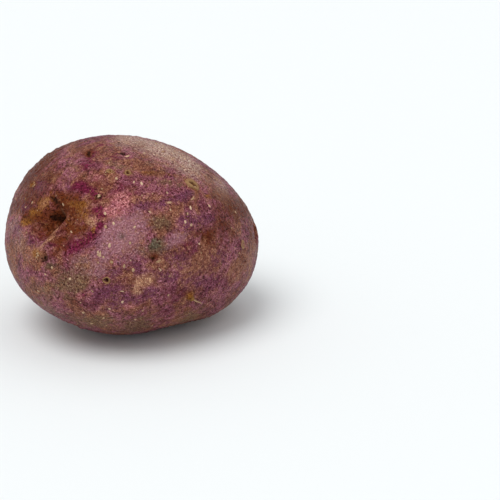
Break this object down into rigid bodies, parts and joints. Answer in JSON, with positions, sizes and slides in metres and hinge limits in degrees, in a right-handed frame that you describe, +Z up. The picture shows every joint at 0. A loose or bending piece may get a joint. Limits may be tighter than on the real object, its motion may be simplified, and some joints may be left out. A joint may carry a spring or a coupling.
{
  "type": "potato",
  "caption": "Oval purple-skinned table potato with a deep crown eye at its blunt rose end, shallow eyes, corky pore scars and a stem scar, lying on its resting spot.",
  "frame": {"origin": "bottom centre of the tuber's box, on the ground plane", "axes": "+X towards the stem end, the narrower end; -X towards the rose end, where the eyes crowd; +Y to the back; +Z up"},
  "size_m": [0.0766, 0.0672, 0.0581],
  "materials": {
    "skin": "satin"
  },
  "bodies": {
    "root": {"potato": "skin"}
  },
  "joints": []
}
